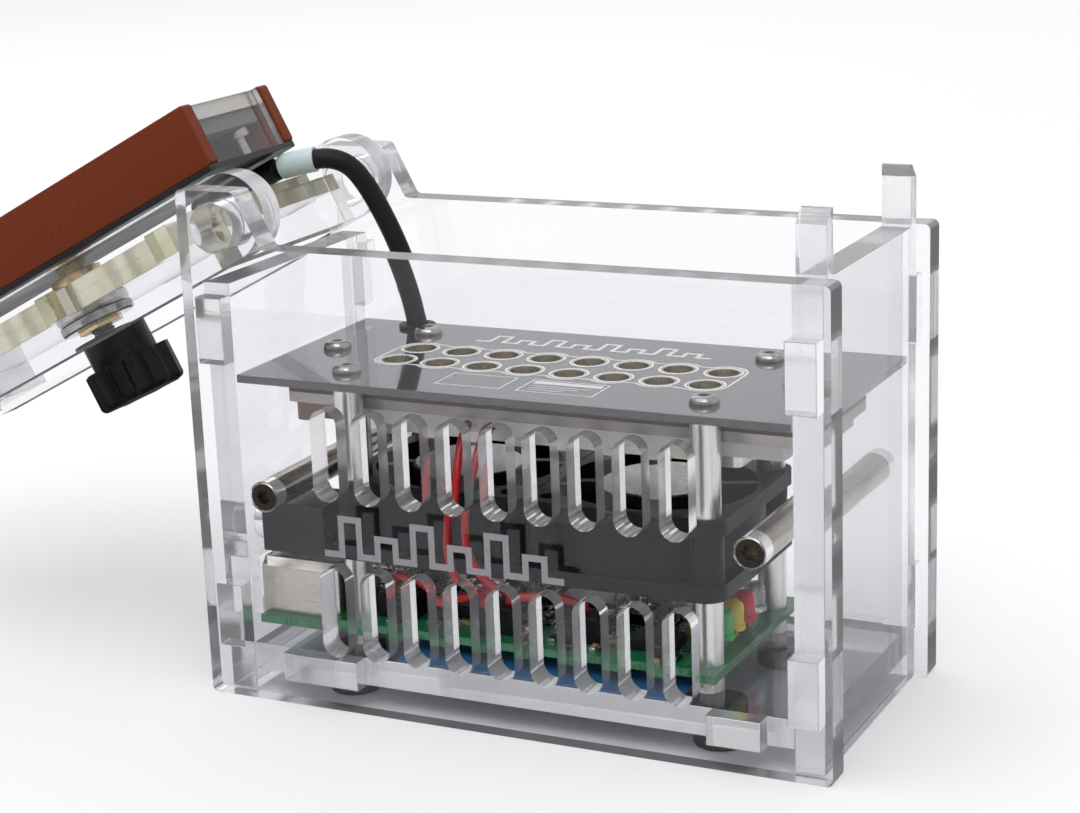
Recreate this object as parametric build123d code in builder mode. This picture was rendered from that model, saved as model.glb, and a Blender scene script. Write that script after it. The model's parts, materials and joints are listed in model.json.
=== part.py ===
from build123d import *
import math
import os

# Bench-top thermal cycler: a clear acrylic case on four rubber feet, a heated block of sixteen
# wells over two fans, a control board below, and a hinged lid that carries a heated plate with
# its pressure screw.  The lid is modelled open.  Millimetres, +X right, +Y back, +Z up; the
# origin is the middle of the case's footprint, on the surface that it stands on.

# ---------------------------------------------------------------- case
SHEET = 5.6  # clear sheet
WIDTH = 127.0
DEPTH = 60.0
PANEL_TOP = 88.4
EAR_TOP = 98.8  # hinge ears of the front and back panels
EAR_WIDTH = 12.4
EAR_SLOPE = 5.4
FRONT = -DEPTH / 2
INSIDE_Y = DEPTH / 2 - SHEET
END_OUTER = 60.9  # outer faces of the end panels, set in from the panels' edges
END_INNER = END_OUTER - SHEET
END_BOTTOM = 0.4
LEFT_END_TOP = 80.9
POST_TOP = 99.8
POST_DEPTH = 3.4
POST_CHAMFER = 2.6
END_TABS = ((10.0, 22.5), (66.0, 78.6))  # heights of the end panels' tabs
BASE_LOW = 4.5
BASE_TOP = BASE_LOW + SHEET
BASE_TABS = ((-46.8, -30.7), (40.0, 50.2))  # the base's tabs along X
SLOT_COUNT = 9
SLOT_PITCH = 8.71
SLOT_WIDTH = 5.5
SLOT_LENGTH = 17.6
SLOT_ROWS = (19.6, 50.25)  # heights of the two rows' middles
FOOT_RADIUS = 5.0
FOOT_SPACING = (76.0, 32.0)

# ---------------------------------------------------------------- inner stack
STACK_X = 36.0  # the four corner standoffs
STACK_Y = 16.0
STANDOFF_RADIUS = 2.75
STUD_RADIUS = 1.5
BOARD_LOW = 13.4
BOARD_TOP = 15.0
BOARD_X = (-55.0, 39.5)
BOARD_DEPTH = 44.0
FAN_SIZE = 39.8
FAN_LOW = 27.6
FAN_HEIGHT = 15.0
FAN_TOP = FAN_LOW + FAN_HEIGHT
FAN_X = 20.0
FAN_BORE = 18.6
HUB_RADIUS = 11.4
LABEL_THICKNESS = 0.3
PLATE_TOP = 63.4
PLATE_THICKNESS = 1.5
PLATE_LOW = PLATE_TOP - PLATE_THICKNESS
PLATE_X = 55.0
BLOCK_LOW = 50.0
BLOCK_SIZE = (80.0, 19.0)
LAYER_SIZE = (102.0, 26.0)
LAYER_WINDOW = (80.0, 19.0)
WELL_PITCH = 9.0
WELL_COLUMNS = 8
WELL_ROWS = 2
WELL_MOUTH = 3.2
WELL_THROAT = 3.05  # radius where the well's cone begins
WELL_TIP = 1.6
WELL_STRAIGHT = 6.0
WELL_DEPTH = 10.4
END_SCREW_X = 47.5
ROD_X = 48.7
ROD_Z = 41.0
ROD_RADIUS = 3.0

# ---------------------------------------------------------------- sockets on the left
USB_Y = -14.0
USB_SIZE = (15.6, 12.0, 10.9)
JACK_Y = -14.0
JACK_Z = 32.0
JACK_BODY = (13.8, 9.6, 10.0)
JACK_COLLAR = 4.0
JACK_BORE = 2.9
JACK_DEPTH = 11.0

# ---------------------------------------------------------------- lid, modelled open
HINGE_X = -56.0
HINGE_Z = 91.9
PIN_RADIUS = 4.75
HINGE_GAP = 0.05
OPEN_ANGLE = 207.5
ARM_IN = 18.4  # inner faces of the lid's arms
ARM_OUT = 24.0
ARM_LOW = -9.3  # across the lid, from the side that faces the wells
ARM_HIGH = 7.2
ARM_LENGTH = 110.2
LID_PLATE_LOW = -5.6
LID_PLATE_START = 7.1
LID_TABS = (16.2, 47.0, 77.8)
LID_TAB_LENGTH = 5.6
GRIP_START = 92.0
GRIP_END = 119.0
SCREW_U = 55.0
SCREW_RADIUS = 2.5
HOUSING_START = 3.9
HOUSING_END = 106.0
HOUSING_HALF = 15.0
HOUSING_WALL = 3.0
HOUSING_LOW = -24.7
HOUSING_HIGH = -12.2
MOUNT_THICKNESS = 1.2

# ---------------------------------------------------------------- lid cable
CABLE_RADIUS = 2.0
CABLE_ROUTE = (
    (-65.0, 9.9, 96.3),
    (-61.6, 10.2, 97.2),
    (-58.0, 10.9, 98.0),
    (-54.4, 12.0, 98.1),
    (-51.5, 13.5, 96.5),
    (-49.5, 15.0, 93.2),
    (-47.3, 16.4, 88.3),
    (-44.8, 17.9, 81.5),
    (-42.4, 19.3, 73.2),
    (-40.8, 20.4, 64.4),
    (-40.9, 21.2, 55.6),
    (-42.4, 21.6, 46.4),
    (-43.2, 20.9, 37.0),
    (-43.0, 18.4, 28.6),
    (-43.0, 18.4, 20.5),
)
CABLE_HOLE = (-40.9, 20.4)
GROMMET_RADIUS = 3.1

os.makedirs("parts", exist_ok=True)


def save(piece, name):
    piece.part.label = name
    export_step(piece.part, f"parts/{name}.step")


def mirrored(outline):
    """Close an outline, drawn for positive first values, with its mirror image."""
    return list(outline) + [(-a, b) for a, b in reversed(outline)]


def round_corners_path(route):
    """Straight runs joined by tangent arcs, each arc as large as its two runs allow."""
    points = [Vector(*p) for p in route]
    radii = []
    for before, here, after in zip(points, points[1:], points[2:]):
        shorter = min((here - before).length, (after - here).length)
        turn = math.radians((here - before).get_angle(after - here))
        radii.append(0.45 * shorter / math.tan(turn / 2))
    return FilletPolyline(*points, radius=radii), radii


def tube_along(route, radius):
    """A round cord or wire along a route."""
    with BuildPart() as tube:
        with BuildLine():
            path, radii = round_corners_path(route)
        with BuildSketch(Plane(origin=path @ 0, z_dir=path % 0)):
            Circle(radius)
        sweep(path=path)
    section = math.pi * radius**2
    print("tube: radii", [round(r, 1) for r in radii], "length", round(path.length, 1))
    print("  volume over section x length", round(tube.part.volume / section / path.length, 4))
    return tube


# ================================================================ case
def upright_panel(front_y):
    """Front or back panel, with a hinge ear, two rows of vent slots and the tab windows."""
    half = WIDTH / 2
    outline = (
        (-half, 0),
        (half, 0),
        (half, PANEL_TOP),
        (EAR_WIDTH + EAR_SLOPE - half, PANEL_TOP),
        (EAR_WIDTH - half, EAR_TOP),
        (-half, EAR_TOP),
    )
    with BuildPart() as panel:
        with BuildSketch(Plane.XZ.offset(-front_y - SHEET)) as face:
            with BuildLine():
                Polyline(*outline, close=True)
            make_face()
            fillet(face.vertices(), radius=1.2)
            for height in SLOT_ROWS:
                with Locations((0, height)):
                    with GridLocations(SLOT_PITCH, 0, SLOT_COUNT, 1):
                        SlotOverall(SLOT_LENGTH, SLOT_WIDTH, rotation=90, mode=Mode.SUBTRACT)
            for low, high in END_TABS:
                for side in (-1, 1):
                    with Locations((side * (END_OUTER - SHEET / 2), (low + high) / 2)):
                        Rectangle(SHEET, high - low, mode=Mode.SUBTRACT)
            for left, right in BASE_TABS:
                with Locations(((left + right) / 2, BASE_LOW + SHEET / 2)):
                    Rectangle(right - left, SHEET, mode=Mode.SUBTRACT)
            with Locations((HINGE_X, HINGE_Z)):
                Circle(PIN_RADIUS, mode=Mode.SUBTRACT)
            with Locations((-ROD_X, ROD_Z), (ROD_X, ROD_Z)):
                Circle(ROD_RADIUS, mode=Mode.SUBTRACT)
        extrude(amount=SHEET)
    return panel


save(upright_panel(FRONT), "front_panel")
save(upright_panel(-FRONT - SHEET), "back_panel")


def end_outline(top):
    """Half of an end panel's outline in (Y, Z), up to the height where its top begins."""
    (low_a, high_a), (low_b, high_b) = END_TABS
    return (
        (INSIDE_Y, END_BOTTOM),
        (INSIDE_Y, low_a),
        (DEPTH / 2, low_a),
        (DEPTH / 2, high_a),
        (INSIDE_Y, high_a),
        (INSIDE_Y, low_b),
        (DEPTH / 2, low_b),
        (DEPTH / 2, high_b),
        (INSIDE_Y, high_b),
        (INSIDE_Y, top),
    )


# right end panel, with two slim posts that the lid's grip closes between
post_inside = INSIDE_Y - POST_DEPTH
right_outline = end_outline(POST_TOP - POST_CHAMFER) + (
    (INSIDE_Y - POST_CHAMFER, POST_TOP),
    (post_inside, POST_TOP),
    (post_inside, PANEL_TOP),
)
with BuildPart() as right_end_panel:
    with BuildSketch(Plane.YZ.offset(END_INNER)):
        with BuildLine():
            Polyline(*mirrored(right_outline), close=True)
        make_face()
    extrude(amount=SHEET)
save(right_end_panel, "right_end_panel")

# left end panel, lower, because the open lid's arms rest over it; windows for the two sockets
with BuildPart() as left_end_panel:
    with BuildSketch(Plane.YZ.offset(-END_OUTER)):
        with BuildLine():
            Polyline(*mirrored(end_outline(LEFT_END_TOP)), close=True)
        make_face()
        with Locations((USB_Y, BOARD_TOP + USB_SIZE[2] / 2)):
            Rectangle(USB_SIZE[1] + 0.8, USB_SIZE[2] + 0.8, mode=Mode.SUBTRACT)
        with Locations((JACK_Y, JACK_Z)):
            Circle(JACK_COLLAR, mode=Mode.SUBTRACT)
    extrude(amount=SHEET)
save(left_end_panel, "left_end_panel")

# base, tabbed through the front and back panels
with BuildPart() as base_panel:
    with BuildSketch(Plane.XY.offset(BASE_LOW)):
        Rectangle(2 * END_INNER, 2 * INSIDE_Y)
        for left, right in BASE_TABS:
            with Locations(((left + right) / 2, 0)):
                Rectangle(right - left, DEPTH)
    extrude(amount=SHEET)
save(base_panel, "base_panel")

with BuildPart() as rubber_feet:
    with BuildSketch():
        with GridLocations(FOOT_SPACING[0], FOOT_SPACING[1], 2, 2):
            Circle(FOOT_RADIUS)
    extrude(amount=BASE_LOW)
    fillet(rubber_feet.faces().sort_by(Axis.Z)[0:4].edges(), radius=0.8)
save(rubber_feet, "rubber_feet")

# clear pins, one through each ear into the lid's arm, pushed into the panel
with BuildPart() as hinge_pins:
    for side in (-1, 1):
        start = ARM_IN if side > 0 else -DEPTH / 2
        with BuildSketch(Plane.XZ.offset(-start - (DEPTH / 2 - ARM_IN))):
            with Locations((HINGE_X, HINGE_Z)):
                Circle(PIN_RADIUS)
        extrude(amount=DEPTH / 2 - ARM_IN)
save(hinge_pins, "hinge_pins")

# two rods that tie the front and back panels together, with a hexagon socket in each end
with BuildPart() as tie_rods:
    with BuildSketch(Plane.XZ.offset(FRONT)):
        with Locations((-ROD_X, ROD_Z), (ROD_X, ROD_Z)):
            Circle(ROD_RADIUS)
    extrude(amount=DEPTH)
    chamfer(tie_rods.edges().filter_by(GeomType.CIRCLE), length=0.4)
    for side in (-1, 1):
        with BuildSketch(Plane.XZ.offset(side * DEPTH / 2)):
            with Locations((-ROD_X, ROD_Z), (ROD_X, ROD_Z)):
                RegularPolygon(1.5, 6)
        extrude(amount=-side * 3, mode=Mode.SUBTRACT)
save(tie_rods, "tie_rods")


# ================================================================ inner stack
def corner_columns(low, high, stud_low, socket_depth):
    """Four standoffs, each with a stud below and a tapped hole from the top."""
    with BuildPart() as columns:
        with BuildSketch(Plane.XY.offset(low)):
            with GridLocations(2 * STACK_X, 2 * STACK_Y, 2, 2):
                Circle(STANDOFF_RADIUS)
        extrude(amount=high - low)
        if stud_low < low:
            with BuildSketch(Plane.XY.offset(stud_low)):
                with GridLocations(2 * STACK_X, 2 * STACK_Y, 2, 2):
                    Circle(STUD_RADIUS)
            extrude(amount=low - stud_low)
        with BuildSketch(Plane.XY.offset(high)):
            with GridLocations(2 * STACK_X, 2 * STACK_Y, 2, 2):
                Circle(STUD_RADIUS)
        extrude(amount=-socket_depth, mode=Mode.SUBTRACT)
    return columns


with BuildPart() as lower_standoffs:
    add(corner_columns(BASE_TOP, BOARD_LOW, BASE_TOP, 2.8).part)
    add(corner_columns(BOARD_TOP, FAN_LOW, BOARD_LOW - 2.6, 5.0).part)
save(lower_standoffs, "lower_standoffs")
save(corner_columns(FAN_TOP, PLATE_LOW, FAN_LOW - 4.6, 6.0), "upper_standoffs")

# glossy dark plate over the block: a hole above each well, and one for the lid's cable
with BuildPart() as top_plate:
    with BuildSketch(Plane.XY.offset(PLATE_LOW)):
        Rectangle(2 * PLATE_X, 2 * INSIDE_Y)
        with GridLocations(WELL_PITCH, WELL_PITCH, WELL_COLUMNS, WELL_ROWS):
            Circle(WELL_MOUTH, mode=Mode.SUBTRACT)
        with GridLocations(2 * STACK_X, 2 * STACK_Y, 2, 2):
            Circle(STUD_RADIUS, mode=Mode.SUBTRACT)
        with Locations((-END_SCREW_X, 0), (END_SCREW_X, 0)):
            Circle(STUD_RADIUS, mode=Mode.SUBTRACT)
        with Locations(CABLE_HOLE):
            Circle(GROMMET_RADIUS, mode=Mode.SUBTRACT)
    extrude(amount=PLATE_THICKNESS)
save(top_plate, "top_plate")


# button-head screws with a hexagon socket: four into the standoffs, two into the block's layers
screw_spots = [(x * STACK_X, y * STACK_Y) for x in (-1, 1) for y in (-1, 1)]
screw_spots += [(-END_SCREW_X, 0), (END_SCREW_X, 0)]
HEAD_HEIGHT = 1.5
with BuildPart() as plate_screws:
    with BuildSketch(Plane.XY.offset(PLATE_TOP)):
        with Locations(*screw_spots):
            Circle(2.75)
    extrude(amount=HEAD_HEIGHT)
    fillet(plate_screws.faces().filter_by(Axis.Z).sort_by(Axis.Z)[-6:].edges(), radius=1.1)
    with BuildSketch(Plane.XY.offset(PLATE_TOP + HEAD_HEIGHT)):
        with Locations(*screw_spots):
            RegularPolygon(1.1, 6)
    extrude(amount=-0.9, mode=Mode.SUBTRACT)
    with BuildSketch(Plane.XY.offset(PLATE_TOP)):
        with Locations(*screw_spots):
            Circle(STUD_RADIUS)
    extrude(amount=-6)
save(plate_screws, "plate_screws")

# aluminium block with sixteen tapered wells
with BuildPart() as sample_block:
    with BuildSketch(Plane.XY.offset(BLOCK_LOW)):
        RectangleRounded(BLOCK_SIZE[0], BLOCK_SIZE[1], 1.5)
    extrude(amount=PLATE_LOW - BLOCK_LOW)
    with Locations((0, 0, PLATE_LOW - WELL_STRAIGHT)):
        with GridLocations(WELL_PITCH, WELL_PITCH, WELL_COLUMNS, WELL_ROWS):
            Cone(
                WELL_THROAT,
                WELL_MOUTH,
                WELL_STRAIGHT,
                align=(Align.CENTER, Align.CENTER, Align.MIN),
                mode=Mode.SUBTRACT,
            )
            Cone(
                WELL_TIP,
                WELL_THROAT,
                WELL_DEPTH - WELL_STRAIGHT,
                align=(Align.CENTER, Align.CENTER, Align.MAX),
                mode=Mode.SUBTRACT,
            )
save(sample_block, "sample_block")


def block_layer(name, low, high):
    """A sheet around the block, clamped under the plate by the two end screws."""
    with BuildPart() as layer:
        with BuildSketch(Plane.XY.offset(low)):
            Rectangle(*LAYER_SIZE)
            RectangleRounded(LAYER_WINDOW[0], LAYER_WINDOW[1], 1.5, mode=Mode.SUBTRACT)
            with Locations((-END_SCREW_X, 0), (END_SCREW_X, 0)):
                Circle(STUD_RADIUS, mode=Mode.SUBTRACT)
        extrude(amount=high - low)
    save(layer, name)


CLAMP_TOP = 60.6
MAT_TOP = 58.9
MAT_LOW = 57.7
LAYERS_LOW = 55.7
block_layer("upper_clamp_plate", MAT_TOP, CLAMP_TOP)
block_layer("heater_mat", MAT_LOW, MAT_TOP)
block_layer("lower_clamp_plate", LAYERS_LOW, MAT_LOW)

# white insulating board under the layers
WHITE_X = (-40.0, 49.0)
WHITE_DEPTH = 24.0
WHITE_THICKNESS = 2.9
with BuildPart() as insulating_board:
    with BuildSketch(Plane.XY.offset(LAYERS_LOW - WHITE_THICKNESS)):
        with Locations(((WHITE_X[0] + WHITE_X[1]) / 2, 0)):
            Rectangle(WHITE_X[1] - WHITE_X[0], WHITE_DEPTH)
        RectangleRounded(LAYER_WINDOW[0], LAYER_WINDOW[1], 1.5, mode=Mode.SUBTRACT)
    extrude(amount=WHITE_THICKNESS)
save(insulating_board, "insulating_board")

# brown block that carries the thermal cut-out, at the left end of the layers
CUTOUT_SPOT = (-46.5, -6.5)
CUTOUT_SIZE = 9.0
CUTOUT_HEIGHT = 4.2
with BuildPart() as cutout_block:
    with BuildSketch(Plane.XY.offset(LAYERS_LOW - CUTOUT_HEIGHT)):
        with Locations(CUTOUT_SPOT):
            RectangleRounded(CUTOUT_SIZE, CUTOUT_SIZE, 1)
    extrude(amount=CUTOUT_HEIGHT)
save(cutout_block, "cutout_block")


# ================================================================ fans
def fan_frame(centre_x):
    """Square frame, round bore, four struts and a fixed hub over the rotor."""
    with BuildPart() as frame:
        with BuildSketch(Plane.XY.offset(FAN_LOW)):
            with Locations((centre_x, 0)):
                RectangleRounded(FAN_SIZE, FAN_SIZE, 4)
        extrude(amount=FAN_HEIGHT)
        with BuildSketch(Plane.XY.offset(FAN_LOW + 3)):
            with Locations((centre_x, 0)):
                RectangleRounded(FAN_SIZE, FAN_SIZE, 4)
                Circle(FAN_SIZE / 2 - 0.2, mode=Mode.SUBTRACT)
                with GridLocations(2 * STACK_Y, 2 * STACK_Y, 2, 2):
                    Circle(3.1, mode=Mode.SUBTRACT)
        extrude(amount=FAN_HEIGHT - 6, mode=Mode.SUBTRACT)
        with BuildSketch(Plane.XY.offset(FAN_LOW)):
            with Locations((centre_x, 0)):
                Circle(FAN_BORE)
                with GridLocations(2 * STACK_Y, 2 * STACK_Y, 2, 2):
                    Circle(STUD_RADIUS + 0.15)
        extrude(amount=FAN_HEIGHT, mode=Mode.SUBTRACT)
        with BuildSketch(Plane.XY.offset(FAN_TOP - 2)):
            with Locations((centre_x, 0)):
                Circle(HUB_RADIUS)
                with PolarLocations((HUB_RADIUS + FAN_BORE) / 2, 4, start_angle=20):
                    Rectangle(FAN_BORE - HUB_RADIUS + 1.2, 1.8)
        extrude(amount=2)
        with BuildSketch(Plane.XY.offset(FAN_TOP - 2)):
            with Locations((centre_x, 0)):
                Circle(1.05)
        extrude(amount=1.4, mode=Mode.SUBTRACT)
    return frame


def fan_rotor(centre_x):
    """Seven pitched blades round a hub, on a thin shaft that runs in the fixed hub."""
    hub_low = FAN_LOW + 1.2
    hub_top = FAN_TOP - 2.5
    middle = FAN_LOW + 6.9  # of the blades
    with BuildPart() as rotor:
        with Locations((centre_x, 0, middle)):
            with PolarLocations(14.2, 7):
                Box(8.0, 1.1, 11.5, rotation=(38, 0, 0))
        with Locations((centre_x, 0, middle)):
            Cylinder(FAN_BORE - 0.7, 14, mode=Mode.INTERSECT)
        with BuildSketch(Plane.XY.offset(hub_low)):
            with Locations((centre_x, 0)):
                Circle(HUB_RADIUS)
        extrude(amount=hub_top - hub_low)
        with BuildSketch(Plane.XY.offset(hub_top)):
            with Locations((centre_x, 0)):
                Circle(1.0)
        extrude(amount=1.6)
    return rotor


for name, centre in (("left", -FAN_X), ("right", FAN_X)):
    save(fan_frame(centre), f"{name}_fan_frame")
    save(fan_rotor(centre), f"{name}_fan_rotor")

# plain silver discs on the fixed hubs
with BuildPart() as fan_labels:
    with BuildSketch(Plane.XY.offset(FAN_TOP)):
        with Locations((-FAN_X, 0), (FAN_X, 0)):
            Circle(HUB_RADIUS - 0.5)
    extrude(amount=LABEL_THICKNESS)
save(fan_labels, "fan_labels")

# ================================================================ electronics
board_middle = (BOARD_X[0] + BOARD_X[1]) / 2
with BuildPart() as circuit_board:
    with BuildSketch(Plane.XY.offset(BOARD_LOW)):
        with Locations((board_middle, 0)):
            Rectangle(BOARD_X[1] - BOARD_X[0], BOARD_DEPTH)
        with GridLocations(2 * STACK_X, 2 * STACK_Y, 2, 2):
            Circle(STUD_RADIUS, mode=Mode.SUBTRACT)
    extrude(amount=BOARD_TOP - BOARD_LOW)
save(circuit_board, "circuit_board")

# blue insulating sheet on the base, under the board, from the front panel back
FILM_X = (-24.0, 32.8)
FILM_Y = (-24.2, 22.0)
with BuildPart() as insulating_sheet:
    with BuildSketch(Plane.XY.offset(BASE_TOP)):
        with Locations(((FILM_X[0] + FILM_X[1]) / 2, (FILM_Y[0] + FILM_Y[1]) / 2)):
            Rectangle(FILM_X[1] - FILM_X[0], FILM_Y[1] - FILM_Y[0])
    extrude(amount=0.5)
save(insulating_sheet, "insulating_sheet")

# square metal data socket: a shell open to the left, and its plastic tongue
with BuildPart() as usb_socket:
    with Locations((-END_INNER + USB_SIZE[0] / 2, USB_Y, BOARD_TOP + USB_SIZE[2] / 2)):
        Box(*USB_SIZE)
    chamfer(usb_socket.edges().filter_by(Axis.X).sort_by(Axis.Z)[-2:], length=1.6)
    offset(amount=-0.6, openings=usb_socket.faces().sort_by(Axis.X)[0])
save(usb_socket, "usb_socket")

TONGUE_SIZE = (13.4, 5.6, 3.2)
with BuildPart() as usb_tongue:
    with Locations((-END_INNER + 8.3, USB_Y, BOARD_TOP + 5.4)):
        Box(*TONGUE_SIZE)
save(usb_tongue, "usb_tongue")

# power inlet: a body behind the end panel, a round collar through it and a centre pin
with BuildPart() as power_socket:
    with Locations((-END_INNER + JACK_BODY[0] / 2, JACK_Y, JACK_Z)):
        Box(*JACK_BODY)
    with BuildSketch(Plane.YZ.offset(-END_OUTER)):
        with Locations((JACK_Y, JACK_Z)):
            Circle(JACK_COLLAR)
    extrude(amount=SHEET)
    with BuildSketch(Plane.YZ.offset(-END_OUTER)):
        with Locations((JACK_Y, JACK_Z)):
            Circle(JACK_BORE)
    extrude(amount=JACK_DEPTH, mode=Mode.SUBTRACT)
    with BuildSketch(Plane.YZ.offset(JACK_DEPTH - END_OUTER)):
        with Locations((JACK_Y, JACK_Z)):
            Circle(0.95)
    extrude(amount=1.5 - JACK_DEPTH)
save(power_socket, "power_socket")


LAMP_X = 35.5
LAMP_LEGS = 2.0
LAMP_RIM = 1.0
LAMP_BODY = 4.6


def status_lamp(name, y):
    """A round lamp near the board's right edge, domed on top, on two short legs."""
    rim_low = BOARD_TOP + LAMP_LEGS
    with BuildPart() as lamp:
        with BuildSketch(Plane.XY.offset(rim_low)):
            with Locations((LAMP_X, y)):
                Circle(2.3)
        extrude(amount=LAMP_RIM)
        with BuildSketch(Plane.XY.offset(rim_low + LAMP_RIM)):
            with Locations((LAMP_X, y)):
                Circle(2.0)
        extrude(amount=LAMP_BODY)
        fillet(lamp.faces().sort_by(Axis.Z)[-1].edges(), radius=1.7)
        with BuildSketch(Plane.XY.offset(BOARD_TOP)):
            with Locations((LAMP_X, y - 1.2), (LAMP_X, y + 1.2)):
                Rectangle(0.6, 0.6)
        extrude(amount=LAMP_LEGS)
    save(lamp, name)


for colour, lamp_y in (("green", -8.0), ("yellow", -2.8), ("red", 2.8), ("clear", 8.0)):
    status_lamp(f"{colour}_lamp", lamp_y)

# flat black chips on the board, (x, y, length, width)
CHIPS = ((-17.0, -9.0, 12.0, 8.0), (4.0, 6.0, 12.0, 12.0), (24.0, -14.0, 9.0, 6.0))
with BuildPart() as control_chips:
    for x, y, length, width in CHIPS:
        with BuildSketch(Plane.XY.offset(BOARD_TOP)):
            with Locations((x, y)):
                Rectangle(length, width)
        extrude(amount=2.4)
    chamfer(control_chips.faces().filter_by(Axis.Z).sort_by(Axis.Z)[-3:].edges(), length=0.3)
save(control_chips, "control_chips")

# can capacitors, (x, y, radius, height)
CAPACITORS = (
    (-31.0, 6.0, 3.2, 9.0),
    (-8.0, 2.0, 2.6, 8.0),
    (22.5, 3.0, 3.2, 9.0),
    (30.0, 11.5, 2.2, 7.0),
)
with BuildPart() as capacitors:
    for x, y, radius, height in CAPACITORS:
        with BuildSketch(Plane.XY.offset(BOARD_TOP)):
            with Locations((x, y)):
                Circle(radius)
        extrude(amount=height)
    fillet(capacitors.edges().filter_by(GeomType.CIRCLE), radius=0.5)
save(capacitors, "capacitors")

# white plug housings that the red wires and the lid's cable go into, (x, y, length, width)
PLUGS = (
    (-28.6, -15.0, 8.0, 5.0),
    (-7.0, -16.0, 8.0, 5.0),
    (10.0, -15.0, 8.0, 5.0),
    (-43.0, 18.4, 8.0, 6.0),
)
PLUG_HEIGHT = 5.5
with BuildPart() as wire_plugs:
    for x, y, length, width in PLUGS:
        with BuildSketch(Plane.XY.offset(BOARD_TOP)):
            with Locations((x, y)):
                Rectangle(length, width)
        extrude(amount=PLUG_HEIGHT)
    chamfer(wire_plugs.faces().filter_by(Axis.Z).sort_by(Axis.Z)[-4:].edges(), length=0.5)
save(wire_plugs, "wire_plugs")

# wound choke: a bar with raised square ends
CHOKE_X = (13.5, 26.5)
CHOKE_Y = 13.0
CHOKE_SIDE = 8.0
CHOKE_END = 1.2
with BuildPart() as choke:
    with BuildSketch(Plane.YZ.offset(CHOKE_X[0])):
        with Locations((CHOKE_Y, BOARD_TOP + 3.6)):
            Circle(3.4)
    extrude(amount=CHOKE_X[1] - CHOKE_X[0])
    for x in (CHOKE_X[0], CHOKE_X[1] - CHOKE_END):
        with BuildSketch(Plane.YZ.offset(x)):
            with Locations((CHOKE_Y, BOARD_TOP + CHOKE_SIDE / 2)):
                Rectangle(CHOKE_SIDE, CHOKE_SIDE)
        extrude(amount=CHOKE_END)
save(choke, "choke")

# red supply wires: from the plugs, in loose loops, up between the fans to the heater layers
WIRE_ROUTES = (
    (
        (-29.0, -15.0, 20.5),
        (-29.0, -15.0, 22.8),
        (-26.6, -17.0, 25.0),
        (-22.0, -18.6, 23.4),
        (-17.6, -18.8, 20.6),
        (-12.6, -18.2, 21.4),
        (-8.4, -16.8, 24.0),
        (-5.0, -16.0, 22.8),
        (-5.0, -16.0, 20.5),
    ),
    (
        (-8.6, -17.0, 20.5),
        (-8.6, -17.0, 22.6),
        (-10.6, -20.4, 24.6),
        (-12.6, -22.0, 28.6),
        (-13.2, -22.2, 34.2),
        (-12.4, -22.2, 40.0),
        (-12.0, -21.6, 45.8),
        (-12.6, -18.8, 50.6),
        (-13.0, -15.0, 54.2),
        (-13.0, -12.0, 54.2),
    ),
    (
        (10.0, -15.0, 20.5),
        (10.0, -15.0, 22.8),
        (6.4, -18.0, 25.0),
        (0.6, -20.8, 24.6),
        (-5.0, -22.2, 27.0),
        (-8.6, -22.4, 31.6),
        (-9.2, -22.4, 38.0),
        (-8.4, -21.8, 44.6),
        (-8.0, -18.6, 50.0),
        (-8.2, -15.0, 54.2),
        (-8.2, -12.0, 54.2),
    ),
)
with BuildPart() as red_wires:
    for route in WIRE_ROUTES:
        add(tube_along(route, 0.8).part)
save(red_wires, "red_wires")

# rubber grommet in the plate, round the lid's cable
with BuildPart() as cable_grommet:
    with BuildSketch(Plane.XY.offset(PLATE_LOW)):
        with Locations(CABLE_HOLE):
            Circle(GROMMET_RADIUS)
    extrude(amount=PLATE_THICKNESS)
    with BuildSketch(Plane.XY.offset(PLATE_TOP)):
        with Locations(CABLE_HOLE):
            Circle(GROMMET_RADIUS + 0.6)
    extrude(amount=0.7)
    with BuildSketch(Plane.XY.offset(PLATE_LOW)):
        with Locations(CABLE_HOLE):
            Circle(CABLE_RADIUS + 0.25)
    extrude(amount=PLATE_THICKNESS + 0.7, mode=Mode.SUBTRACT)
save(cable_grommet, "cable_grommet")

save(tube_along(CABLE_ROUTE, CABLE_RADIUS), "lid_cable")

# ================================================================ lid
tilt = math.radians(OPEN_ANGLE)
HINGE = Vector(HINGE_X, 0, HINGE_Z)
ALONG = Vector(math.cos(tilt), 0, math.sin(tilt))  # from the hinge to the lid's free end
OUTWARD = Vector(-math.sin(tilt), 0, math.cos(tilt))  # towards the knob


def lid_side(y):
    """Plane across Y: x runs along the lid, y outward, and an extrusion goes towards -Y."""
    return Plane(origin=HINGE + Vector(0, y, 0), x_dir=ALONG, z_dir=(0, -1, 0))


def lid_level(height, along=0.0):
    """Plane parallel to the lid: x runs along it, y is +Y, and an extrusion goes outward."""
    return Plane(origin=HINGE + OUTWARD * height + ALONG * along, x_dir=ALONG, z_dir=OUTWARD)


def lid_box(start, end, half_width, low, high):
    """A sheet or bar across the lid, centred on it."""
    with BuildPart() as bar:
        with BuildSketch(lid_side(half_width)):
            with Locations(((start + end) / 2, (low + high) / 2)):
                Rectangle(end - start, high - low)
        extrude(amount=2 * half_width)
    return bar


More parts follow.
